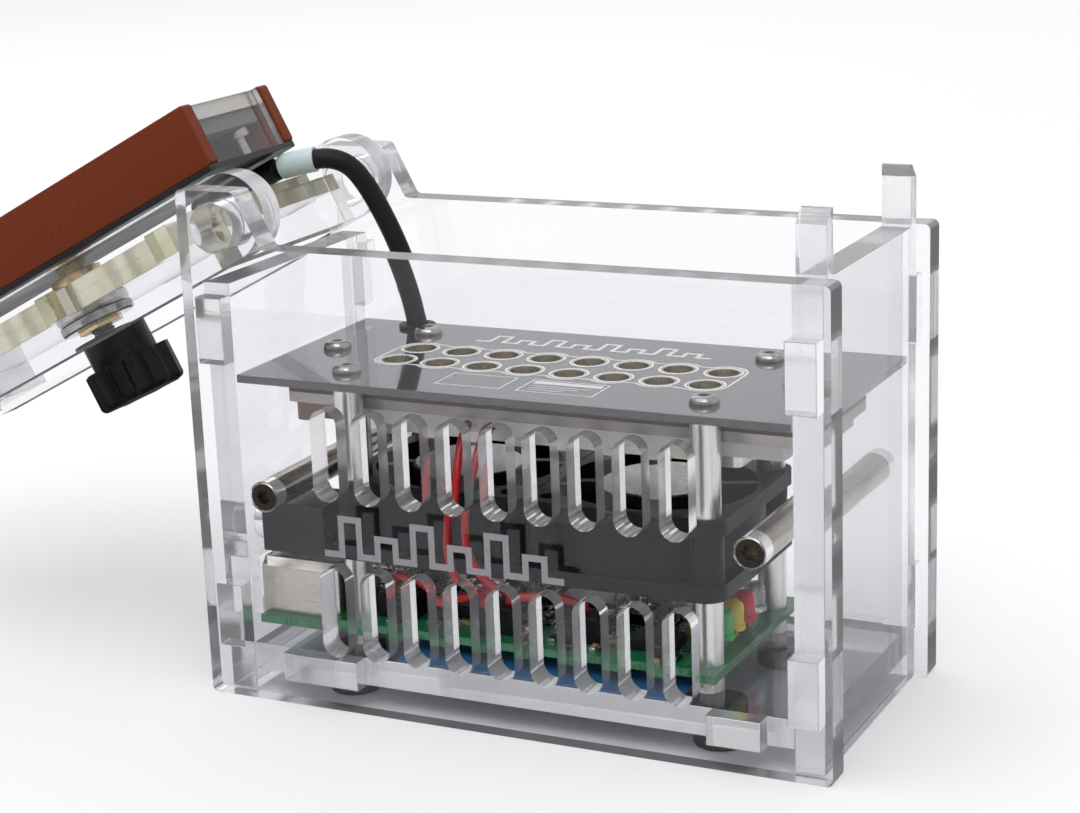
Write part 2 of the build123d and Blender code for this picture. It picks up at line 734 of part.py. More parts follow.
def lid_arm(outer_y):
    """Side arm with a round hinge end, its bore, and windows for the lid plate's tabs."""
    middle = (ARM_LOW + ARM_HIGH) / 2
    radius = (ARM_HIGH - ARM_LOW) / 2
    with BuildPart() as arm:
        with BuildSketch(lid_side(outer_y)) as side:
            with Locations((ARM_LENGTH / 2, middle)):
                Rectangle(ARM_LENGTH, 2 * radius)
            fillet(side.vertices().sort_by(Axis.X)[-2:], radius=2)
            with Locations((0, middle)):
                Circle(radius)
            Circle(PIN_RADIUS + HINGE_GAP, mode=Mode.SUBTRACT)
            for place in LID_TABS:
                with Locations((place, LID_PLATE_LOW + SHEET / 2)):
                    Rectangle(LID_TAB_LENGTH, SHEET, mode=Mode.SUBTRACT)
        extrude(amount=SHEET)
    return arm


save(lid_arm(-ARM_IN), "lid_front_arm")
save(lid_arm(ARM_OUT), "lid_back_arm")

# clear plate between the arms, tabbed through them, with the pressure screw's hole
INSERT_RADIUS = 4.0
with BuildPart() as lid_plate:
    with BuildSketch(lid_level(LID_PLATE_LOW)):
        with Locations(((LID_PLATE_START + ARM_LENGTH - SHEET) / 2, 0)):
            Rectangle(ARM_LENGTH - SHEET - LID_PLATE_START, 2 * ARM_IN)
        for place in LID_TABS:
            with Locations((place, 0)):
                Rectangle(LID_TAB_LENGTH, 2 * ARM_OUT)
        with Locations((SCREW_U, 0)):
            Circle(INSERT_RADIUS, mode=Mode.SUBTRACT)
    extrude(amount=SHEET)
save(lid_plate, "lid_plate")

save(lid_box(1.5, LID_PLATE_START, ARM_IN, -3.0, ARM_HIGH), "lid_heel_rib")
save(lid_box(ARM_LENGTH - SHEET, ARM_LENGTH, ARM_IN, ARM_LOW, 0), "lid_end_rib")

# finger grip on the free end, which closes between the right end panel's posts
with BuildPart() as lid_grip:
    with BuildSketch(lid_level(0)) as grip:
        with Locations(((GRIP_START + GRIP_END) / 2, 0)):
            Rectangle(GRIP_END - GRIP_START, 2 * ARM_IN)
        fillet(grip.vertices().sort_by(Axis.X)[-2:], radius=4)
    extrude(amount=SHEET)
save(lid_grip, "lid_grip")

# brass insert in the lid plate and the steel washer under its flange
WASHER = 2.3
with BuildPart() as screw_insert:
    with BuildSketch(lid_level(LID_PLATE_LOW)):
        with Locations((SCREW_U, 0)):
            Circle(INSERT_RADIUS)
    extrude(amount=-LID_PLATE_LOW + WASHER)
    with BuildSketch(lid_level(WASHER)):
        with Locations((SCREW_U, 0)):
            RegularPolygon(5.2, 6)
    extrude(amount=1.0)
    with BuildSketch(lid_level(LID_PLATE_LOW)):
        with Locations((SCREW_U, 0)):
            Circle(SCREW_RADIUS + 0.05)
    extrude(amount=12, mode=Mode.SUBTRACT)
save(screw_insert, "screw_insert")

with BuildPart() as screw_washer:
    with BuildSketch(lid_level(0)):
        with Locations((SCREW_U, 0)):
            Circle(8.0)
            Circle(INSERT_RADIUS, mode=Mode.SUBTRACT)
    extrude(amount=WASHER)
    rims = screw_washer.edges().filter_by(GeomType.CIRCLE)
    chamfer(rims.filter_by(lambda e: e.radius > INSERT_RADIUS + 1), length=0.4)
save(screw_washer, "screw_washer")

# pale shrink tube on the cable's lid end, and the black sleeve that it comes out of
label_start = Vector(*CABLE_ROUTE[0])
label_line = Vector(*CABLE_ROUTE[2]) - label_start
with BuildPart() as cable_label:
    with BuildSketch(Plane(origin=label_start, z_dir=label_line)):
        Circle(CABLE_RADIUS + 0.65)
        Circle(CABLE_RADIUS + 0.3, mode=Mode.SUBTRACT)
    extrude(amount=label_line.length)
save(cable_label, "cable_label")

SLEEVE_START = 7.1
SLEEVE_END = 26.0
sleeve_middle = HINGE + ALONG * SLEEVE_START + OUTWARD * -8.25 + Vector(0, CABLE_ROUTE[0][1], 0)
with BuildPart() as cable_sleeve:
    with BuildSketch(Plane(origin=sleeve_middle, z_dir=ALONG)):
        Circle(2.3)
    extrude(amount=SLEEVE_END - SLEEVE_START)
    fillet(cable_sleeve.edges().filter_by(GeomType.CIRCLE), radius=0.6)
save(cable_sleeve, "cable_sleeve")

# ================================================================ heated plate, slides on the lid
with BuildPart() as mounting_plate:
    with BuildSketch(lid_level(HOUSING_HIGH)) as sheet:
        with Locations(((HOUSING_START + HOUSING_END) / 2, 0)):
            Rectangle(HOUSING_END - HOUSING_START, 2 * HOUSING_HALF)
        fillet(sheet.vertices(), radius=1)
    extrude(amount=MOUNT_THICKNESS)
save(mounting_plate, "mounting_plate")

for name, y in (("front", HOUSING_WALL - HOUSING_HALF), ("back", HOUSING_HALF)):
    with BuildPart() as wall:
        with BuildSketch(lid_side(y)):
            with Locations(((HOUSING_START + HOUSING_END) / 2, (HOUSING_LOW + HOUSING_HIGH) / 2)):
                RectangleRounded(HOUSING_END - HOUSING_START, HOUSING_HIGH - HOUSING_LOW, 0.8)
        extrude(amount=HOUSING_WALL)
    save(wall, f"housing_{name}_wall")

wall_inside = HOUSING_HALF - HOUSING_WALL
END_PIECE = 3.0
END_INSET = 0.6
END_PLACES = (
    ("inner", HOUSING_START + END_INSET),
    ("outer", HOUSING_END - END_INSET - END_PIECE),
)
for name, start in END_PLACES:
    piece = lid_box(start, start + END_PIECE, wall_inside, HOUSING_LOW + 0.3, HOUSING_HIGH)
    save(piece, f"housing_{name}_end")

# aluminium plate that presses on the tube caps, on an insulating pad
heated_start = HOUSING_START + END_INSET + END_PIECE
heated_end = HOUSING_END - END_INSET - END_PIECE
HEATED_TOP = HOUSING_LOW + 3.2
PAD_TOP = HEATED_TOP + 3.0
heated_plate = lid_box(heated_start, heated_end, wall_inside, HOUSING_LOW, HEATED_TOP)
save(heated_plate, "heated_plate")
save(lid_box(heated_start + 1, heated_end - 1, wall_inside - 1, HEATED_TOP, PAD_TOP), "insulating_pad")

# four long screws from the pad up into the mounting plate, with nuts
screw_places = [(u, v) for u in (heated_start + 5, heated_end - 5) for v in (-7.5, 7.5)]
with BuildPart() as housing_screws:
    with BuildSketch(lid_level(PAD_TOP)):
        with Locations(*screw_places):
            Circle(1.5)
    extrude(amount=HOUSING_HIGH - PAD_TOP)
    with BuildSketch(lid_level(PAD_TOP)):
        with Locations(*screw_places):
            Circle(2.8)
    extrude(amount=1.8)
save(housing_screws, "housing_screws")

# brass pad between the pressure screw's tip and the mounting plate
THRUST_LOW = HOUSING_HIGH + MOUNT_THICKNESS
THRUST_TOP = -7.0
with BuildPart() as thrust_pad:
    with BuildSketch(lid_level(THRUST_LOW)):
        with Locations((SCREW_U, 0)):
            Circle(3.2)
    extrude(amount=THRUST_TOP - THRUST_LOW - 2)
    with BuildSketch(lid_level(THRUST_TOP - 2)):
        with Locations((SCREW_U, 0)):
            Circle(5.5)
    extrude(amount=2)
save(thrust_pad, "thrust_pad")

# ================================================================ pressure screw and knob
KNOB_LOW = 5.0
NECK_TOP = 11.2
KNOB_TOP = 19.4
with BuildPart() as pressure_screw:
    with BuildSketch(lid_level(THRUST_TOP + 0.3)):
        with Locations((SCREW_U, 0)):
            Circle(SCREW_RADIUS)
    extrude(amount=14 - THRUST_TOP - 0.3)
    chamfer(pressure_screw.edges().filter_by(GeomType.CIRCLE), length=0.5)
save(pressure_screw, "pressure_screw")

# fluted knob: a plain neck under a head with eight finger grooves
with BuildPart() as knob:
    with BuildSketch(lid_level(KNOB_LOW)):
        with Locations((SCREW_U, 0)):
            Circle(7.0)
    extrude(amount=NECK_TOP - KNOB_LOW)
    with BuildSketch(lid_level(NECK_TOP)):
        with Locations((SCREW_U, 0)):
            Circle(9.4)
            with PolarLocations(10.9, 8):
                Circle(2.9, mode=Mode.SUBTRACT)
    extrude(amount=KNOB_TOP - NECK_TOP)
    fillet(knob.faces().sort_by(lambda f: f.center().dot(OUTWARD))[-1].edges(), radius=1.2)
    with BuildSketch(lid_level(KNOB_LOW)):
        with Locations((SCREW_U, 0)):
            Circle(SCREW_RADIUS)
    extrude(amount=14 - KNOB_LOW, mode=Mode.SUBTRACT)
save(knob, "knob")
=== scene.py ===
"""Looks of the bench-top thermal cycler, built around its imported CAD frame.

Metres, in the frame of the CAD: +X right, +Y back, +Z up, origin under the middle of the case.
"""

import json
import math
import random

import bmesh
import bpy
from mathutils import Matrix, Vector

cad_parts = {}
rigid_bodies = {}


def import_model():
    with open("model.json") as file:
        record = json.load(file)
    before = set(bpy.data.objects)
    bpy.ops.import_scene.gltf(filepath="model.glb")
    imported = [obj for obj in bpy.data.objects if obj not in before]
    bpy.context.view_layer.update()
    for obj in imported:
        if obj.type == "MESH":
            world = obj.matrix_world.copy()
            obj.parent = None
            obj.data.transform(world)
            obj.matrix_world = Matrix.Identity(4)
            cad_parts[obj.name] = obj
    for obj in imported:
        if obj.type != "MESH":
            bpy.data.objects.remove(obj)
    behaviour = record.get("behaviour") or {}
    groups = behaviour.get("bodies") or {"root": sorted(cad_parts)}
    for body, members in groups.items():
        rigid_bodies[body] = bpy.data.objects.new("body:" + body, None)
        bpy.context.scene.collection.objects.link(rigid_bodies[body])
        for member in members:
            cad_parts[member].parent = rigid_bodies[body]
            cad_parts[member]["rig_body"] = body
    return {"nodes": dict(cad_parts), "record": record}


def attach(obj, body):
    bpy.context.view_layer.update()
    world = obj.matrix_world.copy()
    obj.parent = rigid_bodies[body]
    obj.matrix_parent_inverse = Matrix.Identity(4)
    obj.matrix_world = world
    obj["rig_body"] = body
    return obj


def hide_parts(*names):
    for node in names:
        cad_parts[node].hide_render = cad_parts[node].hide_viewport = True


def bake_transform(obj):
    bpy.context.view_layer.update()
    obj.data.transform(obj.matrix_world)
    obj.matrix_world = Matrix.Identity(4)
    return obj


MM = 0.001
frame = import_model()
NODES = frame["nodes"]
NODE_BODY = {n: o["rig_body"] for n, o in NODES.items()}
NODE_SLOT = {s["node"]: s["material_slot"] for s in frame["record"]["subparts"]}
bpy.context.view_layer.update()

# ---------------------------------------------------------------- sizes shared with the CAD, mm
HINGE = Vector((-56.0, 0.0, 91.9))  # middle of the lid's pivot line
OPEN = math.radians(207.5)  # how far the lid stands open, from closed
ALONG = Vector((math.cos(OPEN), 0.0, math.sin(OPEN)))  # from the hinge to the lid's free end
OUTWARD = Vector((-math.sin(OPEN), 0.0, math.cos(OPEN)))  # square to the lid's plate
SCREW_U = 55.0  # the pressure screw's place along the lid
PLATE_TOP = 63.4
WELL_PITCH = 9.0
FAN_X = 20.0
FAN_LOW = 27.6  # underside of the fans' frames
BOARD_TOP = 15.0
FRONT_Y = -30.0
# from the sleeve on the lid, over the hinge, through the plate and down to the board
CABLE_ROUTE = (
    (-65.0, 9.9, 96.3),
    (-61.6, 10.2, 97.2),
    (-58.0, 10.9, 98.0),
    (-54.4, 12.0, 98.1),
    (-51.5, 13.5, 96.5),
    (-49.5, 15.0, 93.2),
    (-47.3, 16.4, 88.3),
    (-44.8, 17.9, 81.5),
    (-42.4, 19.3, 73.2),
    (-40.8, 20.4, 64.4),
    (-40.9, 21.2, 55.6),
    (-42.4, 21.6, 46.4),
    (-43.2, 20.9, 37.0),
    (-43.0, 18.4, 28.6),
    (-43.0, 18.4, 20.5),
)
CABLE_RADIUS = 2.0

# ---------------------------------------------------------------- camera
camera_data = bpy.data.cameras.new("view")
camera_data.sensor_width = 36.0
camera_data.lens = 80.4
camera_data.shift_x = 0.001
camera_data.shift_y = 0.018
camera_data.clip_start = 0.01
camera = bpy.data.objects.new("view", camera_data)
bpy.context.scene.collection.objects.link(camera)
camera.location = (0.1915, -0.394, 0.1737)
camera.rotation_euler = [math.radians(a) for a in (74.39, 2.13, 25.96)]
bpy.context.scene.camera = camera


# ================================================================ materials
class Paint:
    """Builds one material's nodes around its Principled shader."""

    def __init__(self, name, colour=(0.5, 0.5, 0.5), rough=0.5, metal=0.0, **sockets):
        self.mat = bpy.data.materials.new(name)
        self.mat.use_nodes = True
        self.tree = self.mat.node_tree
        self.shader = self.tree.nodes["Principled BSDF"]
        self.out = self.tree.nodes["Material Output"]
        self.set("Base Color", (*colour, 1.0))
        self.set("Roughness", rough)
        self.set("Metallic", metal)
        for socket, value in sockets.items():
            self.set(socket.replace("_", " "), value)
        self.height = None

    def set(self, socket, value):
        self.shader.inputs[socket].default_value = value

    def node(self, kind, **settings):
        made = self.tree.nodes.new(kind)
        for key, value in settings.items():
            setattr(made, key, value)
        return made

    def link(self, a, b):
        self.tree.links.new(a, b)

    def space(self, scale, rotation=(0, 0, 0)):
        """Coordinates of the piece, in metres times scale."""
        coordinates = self.node("ShaderNodeTexCoord")
        mapping = self.node("ShaderNodeMapping")
        mapping.inputs["Scale"].default_value = scale
        mapping.inputs["Rotation"].default_value = rotation
        self.link(coordinates.outputs["Object"], mapping.inputs["Vector"])
        return mapping.outputs["Vector"]

    def noise(self, vector, detail=4.0, rough=0.55, distortion=0.0):
        made = self.node("ShaderNodeTexNoise")
        made.inputs["Scale"].default_value = 1.0
        made.inputs["Detail"].default_value = detail
        made.inputs["Roughness"].default_value = rough
        made.inputs["Distortion"].default_value = distortion
        self.link(vector, made.inputs["Vector"])
        return made.outputs["Fac"]

    def cells(self, vector):
        made = self.node("ShaderNodeTexVoronoi")
        made.inputs["Scale"].default_value = 1.0
        self.link(vector, made.inputs["Vector"])
        return made.outputs["Distance"]

    def remap(self, value, low, high, to_low=0.0, to_high=1.0):
        made = self.node("ShaderNodeMapRange")
        made.inputs["From Min"].default_value = low
        made.inputs["From Max"].default_value = high
        made.inputs["To Min"].default_value = to_low
        made.inputs["To Max"].default_value = to_high
        self.link(value, made.inputs["Value"])
        return made.outputs["Result"]

    def math(self, operation, a, b):
        made = self.node("ShaderNodeMath", operation=operation)
        for value, socket in ((a, made.inputs[0]), (b, made.inputs[1])):
            if isinstance(value, (int, float)):
                socket.default_value = value
            else:
                self.link(value, socket)
        return made.outputs[0]

    def blend(self, fac, first, second):
        """A colour between two, each a colour or another node's output."""
        made = self.node("ShaderNodeMix", data_type="RGBA")
        self.link(fac, made.inputs[0])
        for value, socket in ((first, made.inputs[6]), (second, made.inputs[7])):
            if isinstance(value, tuple):
                socket.default_value = (*value, 1.0)
            else:
                self.link(value, socket)
        return made.outputs[2]

    def colour(self, output):
        self.link(output, self.shader.inputs["Base Color"])
        return self

    def rough(self, value, low, high, from_low=0.3, from_high=0.7):
        spread = self.remap(value, from_low, from_high, low, high)
        self.link(spread, self.shader.inputs["Roughness"])
        return self

    def bump(self, height, distance, strength):
        """Adds a bump of that depth in metres, over any bump already there."""
        made = self.node("ShaderNodeBump")
        made.inputs["Strength"].default_value = strength
        made.inputs["Distance"].default_value = distance
        self.link(height, made.inputs["Height"])
        if self.height is not None:
            self.link(self.height, made.inputs["Normal"])
        self.height = made.outputs["Normal"]
        self.link(self.height, self.shader.inputs["Normal"])
        return self

    def clear_in_shadow(self, tint):
        """Lets light through, tinted, where the piece would otherwise cast a solid shadow."""
        path = self.node("ShaderNodeLightPath")
        through = self.node("ShaderNodeBsdfTransparent")
        through.inputs["Color"].default_value = (*tint, 1.0)
        mix = self.node("ShaderNodeMixShader")
        self.link(path.outputs["Is Shadow Ray"], mix.inputs[0])
        self.link(self.shader.outputs[0], mix.inputs[1])
        self.link(through.outputs[0], mix.inputs[2])
        self.link(mix.outputs[0], self.out.inputs["Surface"])
        return self


def clear_face(name, shade, tint=(0.96, 0.962, 0.976)):
    """Polished face of the clear sheet, with faint hairline scratches and dust haze."""
    p = Paint(name, tint, 0.01, IOR=1.49, Transmission_Weight=1.0)
    haze = p.noise(p.space((60, 60, 60)), detail=5)
    p.rough(haze, 0.0, 0.045, 0.42, 0.8)
    hairs = p.noise(p.space((900, 900, 60), (0.3, 0.5, 0.2)), detail=2)
    p.bump(p.remap(hairs, 0.62, 0.70), 0.000002, 0.25)
    return p.clear_in_shadow(shade).mat


MILKY = ((0.88, 0.88, 0.905), (0.99, 0.99, 0.995))
OLIVE = ((0.62, 0.59, 0.38), (0.84, 0.82, 0.66))


def clear_edge(name, scale, rotation=(0, 0, 0), tints=MILKY):
    """Cut edge of the clear sheet: between two tints, with fine marks across the thickness."""
    p = Paint(name, (0.93, 0.935, 0.94), 0.2, IOR=1.49, Transmission_Weight=0.80)
    marks = p.noise(p.space(scale, rotation), detail=3)
    slow = p.noise(p.space((70, 70, 70)), detail=2)
    p.colour(p.blend(p.remap(slow, 0.40, 0.60), *tints))
    p.rough(marks, 0.02, 0.12)
    p.bump(marks, 0.00005, 0.5)
    return p.clear_in_shadow((0.72, 0.72, 0.75)).mat


LID_TURN = (0, OPEN, 0)
FACE = clear_face("acrylic_face", (0.78, 0.785, 0.80))
# the base casts a dark shadow, and its underside is tinted dark as painted shade, for the dark band
# under the case
BASE_SHADE = (0.08, 0.083, 0.10)
BASE_FACE = clear_face("acrylic_base_face", BASE_SHADE)
BASE_SHADED_UNDERSIDE = clear_face("acrylic_base_under", BASE_SHADE, (0.45, 0.46, 0.50))
# keyed by the axis that the marks run along, across the sheet; the last two turn with the lid,
# and the tabs of its plate and heel rib show olive
EDGES = {
    "X": clear_edge("acrylic_edge_x", (150, 2600, 2600)),
    "Y": clear_edge("acrylic_edge_y", (2600, 150, 2600)),
    "Z": clear_edge("acrylic_edge_z", (2600, 2600, 150)),
    "lid": clear_edge("acrylic_edge_lid", (2600, 2600, 150), LID_TURN),
    "tabs": clear_edge("acrylic_edge_tabs", (2600, 2600, 150), LID_TURN, OLIVE),
}


def brushed(name, colour, low, high, scale, depth=0.000012):
    """Metal with fine parallel grain along the axis with the small scale."""
    p = Paint(name, colour, 0.3, 1.0)
    grain = p.noise(p.space(scale), detail=4)
    patches = p.noise(p.space((45, 45, 45)), detail=3)
    darker = tuple(c * 0.9 for c in colour)
    p.colour(p.blend(p.remap(patches, 0.3, 0.7), darker, colour))
    p.rough(grain, low, high)
    return p.bump(grain, depth, 0.6).mat


def moulded(name, colour, low, high, grain_scale=1800, depth=0.00002, sheen=0.5):
    """Moulded plastic or rubber: fine grain, slight unevenness in colour and gloss."""
    p = Paint(name, colour, 0.4)
    p.set("Specular IOR Level", sheen)
    fine = p.noise(p.space((grain_scale,) * 3), detail=3)
    wide = p.noise(p.space((90, 90, 90)), detail=4)
    darker = tuple(c * 0.85 for c in colour)
    p.colour(p.blend(p.remap(wide, 0.3, 0.7), darker, colour))
    p.rough(wide, low, high)
    return p.bump(fine, depth, 0.35).mat


def gloss_plate():
    """Dark smoked sheet with a mirror gloss and a little dust."""
    smoked = (0.030, 0.031, 0.034)
    p = Paint("dark_gloss", smoked, 0.05, 0.0, Coat_Weight=1.0, Coat_Roughness=0.02)
    p.set("IOR", 1.6)
    wide = p.noise(p.space((50, 50, 50)), detail=5)
    dust = p.noise(p.space((2500, 2500, 2500)), detail=2)
    p.colour(p.blend(p.remap(dust, 0.70, 0.78), smoked, (0.10, 0.10, 0.105)))
    return p.rough(wide, 0.05, 0.14).mat


def phenolic(name, colour):
    """Red-brown moulded phenolic with a fine fibre fleck and a soft satin."""
    p = Paint(name, colour, 0.45, Specular_IOR_Level=0.22)
    fibres = p.noise(p.space((1400, 1400, 1400)), detail=5, rough=0.7)
    wide = p.noise(p.space((40, 40, 40)), detail=4)
    lighter = tuple(min(1.0, c * 1.35) for c in colour)
    darker = tuple(c * 0.72 for c in colour)
    flecked = p.blend(p.remap(fibres, 0.35, 0.7), darker, lighter)
    p.colour(p.blend(p.remap(wide, 0.3, 0.7), colour, flecked))
    p.rough(wide, 0.36, 0.52)
    return p.bump(fibres, 0.00003, 0.4).mat


def circuit_green():
    """Solder mask over copper tracks: straight runs in two directions with pale pads."""
    p = Paint("board_green", (0.01, 0.12, 0.05), 0.28, 0.0, Coat_Weight=0.4, Coat_Roughness=0.15)
    place = p.space((1000, 1000, 1000))
    split = p.node("ShaderNodeSeparateXYZ")
    p.link(place, split.inputs[0])
    tracks = None
    for axis in ("X", "Y"):
        stripe = p.math("FRACT", p.math("MULTIPLY", split.outputs[axis], 0.9), 0.0)
        lane = p.math("LESS_THAN", stripe, 0.42)
        region = p.cells(p.space((260, 260, 260), (0, 0, 0.0 if axis == "X" else 1.57)))
        here = p.math("GREATER_THAN", region, 0.42 if axis == "X" else 0.50)
        part = p.math("MULTIPLY", lane, here)
        tracks = part if tracks is None else p.math("MAXIMUM", tracks, part)
    p.colour(p.blend(tracks, (0.006, 0.105, 0.040), (0.020, 0.190, 0.075)))
    return p.bump(tracks, 0.00004, 0.5).mat


def lens(name, colour, clear):
    """Tinted epoxy of a status lamp."""
    p = Paint(name, colour, 0.12, 0.0, IOR=1.5, Transmission_Weight=clear)
    cloud = p.noise(p.space((700, 700, 700)), detail=2)
    p.colour(p.blend(cloud, colour, tuple(min(1, c * 1.2 + 0.02) for c in colour)))
    return p.mat


def foil(name, colour):
    """Thin metallised film with slight creases."""
    p = Paint(name, colour, 0.25, 0.85)
    creases = p.noise(p.space((160, 160, 160)), detail=3, distortion=0.6)
    p.rough(creases, 0.22, 0.36)
    return p.bump(creases, 0.00002, 0.4).mat


def printed(name, colour, rough=0.45, metal=0.0):
    """Screen-printed ink, very slightly uneven."""
    p = Paint(name, colour, rough, metal)
    grain = p.noise(p.space((1500, 1500, 1500)), detail=3)
    p.colour(p.blend(p.remap(grain, 0.3, 0.7), tuple(c * 0.86 for c in colour), colour))
    return p.bump(grain, 0.00001, 0.4).mat


EVEN = (900, 900, 900)  # grain alike in every direction
FINE, FINEST = 0.000004, 0.0000015  # depths of grain, m
# the look of each material slot
FINISH = {
    "black_rubber": moulded("black_rubber", (0.010, 0.010, 0.011), 0.42, 0.62, 2400, sheen=0.22),
    "rod_steel": brushed("rod_steel", (0.50, 0.46, 0.42), 0.16, 0.30, (2500, 60, 2500), FINE),
    "aluminium": brushed("aluminium", (0.78, 0.77, 0.75), 0.22, 0.36, (900, 900, 30), FINEST),
    "dark_gloss": gloss_plate(),
    "screw_steel": brushed("screw_steel", (0.42, 0.41, 0.39), 0.07, 0.15, EVEN, FINE),
    "block_aluminium": brushed("block_aluminium", (0.74, 0.71, 0.65), 0.24, 0.42, (60, 1800, 1800)),
    "amber_mat": moulded("amber_mat", (0.30, 0.12, 0.025), 0.2, 0.35, 1500, 0.00003),
    "white_board": moulded("white_board", (0.80, 0.80, 0.79), 0.55, 0.75, 900, 0.00006),
    "brown_phenolic": phenolic("brown_phenolic", (0.165, 0.028, 0.006)),
    "fan_plastic": moulded("fan_plastic", (0.008, 0.0075, 0.011), 0.34, 0.5, 1300, sheen=0.15),
    "silver_label": foil("silver_label", (0.44, 0.42, 0.43)),
    "board_green": circuit_green(),
    "blue_sheet": moulded("blue_sheet", (0.020, 0.13, 0.30), 0.3, 0.5, 800, 0.00003),
    "socket_metal": brushed("socket_metal", (0.56, 0.53, 0.49), 0.18, 0.3, (80, 1800, 1800)),
    "white_plastic": moulded("white_plastic", (0.80, 0.79, 0.75), 0.35, 0.5),
    "black_plastic": moulded(
        "black_plastic", (0.008, 0.008, 0.010), 0.24, 0.38, 1600, 0.00003, sheen=0.25
    ),
    "green_lens": lens("green_lens", (0.03, 0.50, 0.13), 0.25),
    "yellow_lens": lens("yellow_lens", (0.80, 0.66, 0.03), 0.25),
    "red_lens": lens("red_lens", (0.75, 0.02, 0.04), 0.25),
    "clear_lens": lens("clear_lens", (0.90, 0.92, 0.92), 0.85),
    "can_metal": brushed("can_metal", (0.70, 0.70, 0.70), 0.2, 0.34, EVEN),
    "cream_ferrite": moulded("cream_ferrite", (0.42, 0.28, 0.12), 0.4, 0.6, 700, 0.00006),
    "red_wire": moulded("red_wire", (0.48, 0.008, 0.012), 0.26, 0.4, 900, 0.00001),
    "brass": brushed("brass", (0.78, 0.58, 0.28), 0.18, 0.32, EVEN),
    "pale_tube": moulded("pale_tube", (0.62, 0.76, 0.77), 0.3, 0.42, 500, 0.00003),
    "dark_sheet": moulded("dark_sheet", (0.020, 0.020, 0.022), 0.3, 0.5, 1200, 0.00003),
    "grey_pad": moulded("grey_pad", (0.18, 0.18, 0.18), 0.6, 0.8, 600, 0.00008),
}
# looks of their own for pieces that differ from the rest of their slot
ROD_END = brushed("rod_end", (0.30, 0.24, 0.20), 0.2, 0.35, EVEN)
CLAMP_METAL = brushed("clamp_metal", (0.40, 0.37, 0.35), 0.28, 0.42, (60, 1800, 1800))
TAN_BLOCK = moulded("tan_block", (0.36, 0.25, 0.20), 0.4, 0.6, 900, 0.00004)
MAT_EDGE = moulded("mat_edge", (0.14, 0.095, 0.075), 0.35, 0.5, 1500, 0.00003)
INK_WHITE = printed("white_ink", (0.80, 0.80, 0.79))
INK_SILVER = printed("silver_ink", (0.36, 0.35, 0.37), 0.38, 0.2)
INK_GOLD = brushed("gilt_ring", (0.84, 0.78, 0.66), 0.22, 0.36, EVEN)


# ================================================================ mesh helpers
def link_mesh(name, bm, materials, smooth_angle=math.radians(35)):
    """Object from a bmesh, shaded smooth but for edges sharper than the angle."""
    bmesh.ops.recalc_face_normals(bm, faces=bm.faces)
    for e in bm.edges:
        e.smooth = not (e.is_manifold and e.calc_face_angle(0) > smooth_angle)
    for f in bm.faces:
        f.smooth = True
    mesh = bpy.data.meshes.new(name)
    bm.to_mesh(mesh)
    bm.free()
    for m in materials:
        mesh.materials.append(m)
    made = bpy.data.objects.new(name, mesh)
    bpy.context.scene.collection.objects.link(made)
    return made


def shrink(bm, gap):
    """Moves each face inwards by gap, so that pieces that meet don't share a surface."""
    bm.normal_update()
    moves = [(v, v.normal * (v.calc_shell_factor() * gap)) for v in bm.verts]
    for v, move in moves:
        v.co -= move


def refined(node, materials, bevel, gap=0.0, pick=None, segments=2):
    """A copy of a CAD node with its edges eased by bevel mm and smooth curved faces, which
    stands for the node. pick gives a face's material index from its normal."""
    bm = bmesh.new()
    bm.from_mesh(NODES[node].data)
    bmesh.ops.remove_doubles(bm, verts=bm.verts, dist=1e-7)
    bmesh.ops.dissolve_limit(
        bm,
        angle_limit=math.radians(0.4),
        use_dissolve_boundaries=False,
        verts=bm.verts,
        edges=bm.edges,
    )
    if gap:
        shrink(bm, gap * MM)
    bm.normal_update()
    for f in bm.faces:
        f.material_index = pick(f.normal) if pick else 0
    if bevel:
        sharp = [e for e in bm.edges if e.is_manifold and e.calc_face_angle(0) > math.radians(32)]
        bmesh.ops.bevel(
            bm,
            geom=sharp,
            offset=bevel * MM,
            segments=segments,
            profile=0.6,
            affect="EDGES",
            clamp_overlap=True,
            material=-1,
        )
    piece = link_mesh(f"{node}_shown", bm, materials or [FINISH[NODE_SLOT[node]]])
    if bevel:
        piece.modifiers.new("normals", "WEIGHTED_NORMAL").keep_sharp = True
    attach(piece, NODE_BODY[node])
    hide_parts(node)


SHEET_EASE = 0.18  # edges
SHEET_GAP = 0.03  # all faces, so that sheets that meet don't share a surface


def clear_sheet(node, across, edge):
    """A clear sheet: polished across one direction, with cut edges round it."""
    direction = Vector(across)
    refined(
        node,
        [FACE, EDGES[edge]],
        SHEET_EASE,
        SHEET_GAP,
        pick=lambda n: 0 if abs(n.dot(direction)) > 0.9 else 1,
    )


